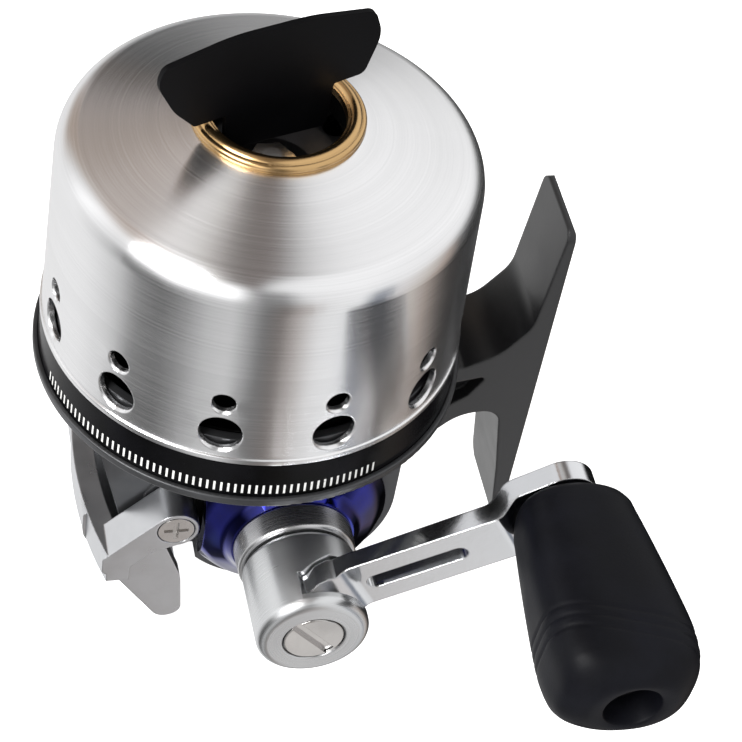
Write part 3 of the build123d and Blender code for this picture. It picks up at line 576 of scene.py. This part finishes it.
def studio_light():
    """A studio of large soft panels with darker gaps between them, by direction.
    Three bands, low, mid and high. The first two go by degrees round from the front, the third by how far
    the direction goes to the side."""
    world = bpy.data.worlds.new("studio")
    bpy.context.scene.world = world
    world.use_nodes = True
    g = Graph(world.node_tree)
    direction = g.node("TexCoord").outputs["Generated"]
    front = Vector((CAMERA_BACK.x, CAMERA_BACK.y, 0)).normalized()
    side = Vector((-front.y, front.x, 0))
    toward = g.vector("DOT_PRODUCT", direction, front)
    sideways = g.vector("DOT_PRODUCT", direction, side)
    height = g.split(direction)[2]
    turn = g.math("ARCTAN2", sideways, toward)
    share = g.math("ADD", g.math("DIVIDE", turn, 2 * math.pi), 0.5)

    def by_turn(*stops):
        return g.ramp(share, [((degrees + 180) / 360, colour) for degrees, colour in stops])

    low = by_turn(
        (-180, (0.50,)), (-150, (0.90,)), (-96, (0.90,)), (-80, (0.74,)), (-67, (0.52,)), (-58, (0.10,)),
        (-41, (0.06,)), (-30, (0.22,)), (-17, (0.50,)), (-4, (0.60,)), (5, (0.36,)), (12, (0.17,)),
        (21, (0.17, 0.15, 0.14)), (30, (0.46, 0.42, 0.40)), (41, (0.80,)), (56, (0.90,)),
        (63, (0.24, 0.26, 0.30)), (69, (0.24, 0.26, 0.30)), (76, (0.74, 0.72, 0.72)), (92, (0.60, 0.56, 0.52)),
        (106, (0.36, 0.29, 0.25)), (115, (0.06,)), (124, (0.006,)), (168, (0.006,)), (180, (0.30,)))
    mid = by_turn(
        (-180, (0.30,)), (-172, (0.20,)), (-166, (0.04,)), (-157, (0.04,)), (-152, (0.15, 0.12, 0.10)),
        (-149, (0.22, 0.20, 0.19)), (-146, (0.55, 0.51, 0.50)), (-142, (0.38, 0.31, 0.26)),
        (-128, (0.40, 0.33, 0.28)), (-112, (0.80,)), (-95, (1.20,)), (-66, (0.80,)), (-48, (0.70,)),
        (-34, (1.70,)), (-6, (1.70,)), (4, (0.50,)), (10, (0.24,)), (20, (0.26,)), (32, (0.85,)),
        (60, (0.95,)), (100, (0.90,)), (140, (1.0,)), (172, (0.90,)), (180, (0.45,)))
    high = g.ramp(g.math("ADD", g.math("MULTIPLY", sideways, 0.5), 0.5), [
        (0.10, (0.42, 0.34, 0.29)), (0.29, (0.42, 0.34, 0.29)), (0.32, (0.48, 0.41, 0.38)), (0.355, (0.68,)),
        (0.41, (0.56, 0.53, 0.50)), (0.45, (0.22, 0.20, 0.19)), (0.475, (0.17, 0.15, 0.14)),
        (0.525, (0.18, 0.15, 0.14)), (0.55, (0.50,)), (0.575, (0.86,)), (0.61, (0.98,)), (0.95, (1.0,))])
    colour = g.mix(g.between(height, *LOW_TO_MID), low, mid)
    colour = g.mix(g.between(height, *MID_TO_HIGH), colour, high)
    background = g.node("Background", inputs={"Color": colour, "Strength": 1.0})
    g.feed(g.node("OutputWorld"), 0, background.outputs[0])


def panel(name, place, target, size, power):
    """A rectangular lamp at place that faces target."""
    lamp = bpy.data.lights.new(name, "AREA")
    lamp.shape = "RECTANGLE"
    lamp.size, lamp.size_y = size
    lamp.energy = power
    obj = bpy.data.objects.new(name, lamp)
    bpy.context.collection.objects.link(obj)
    obj.location = place
    obj.rotation_mode = "QUATERNION"
    obj.rotation_quaternion = (Vector(place) - Vector(target)).to_track_quat("Z", "Y")


build_floor()
studio_light()
panel("key", (-0.75, -0.35, 0.75), (-0.04, 0, 0), (0.5, 0.5), 9.0)
bpy.context.scene.view_settings.view_transform = "Standard"
bpy.context.scene.view_settings.look = "None"
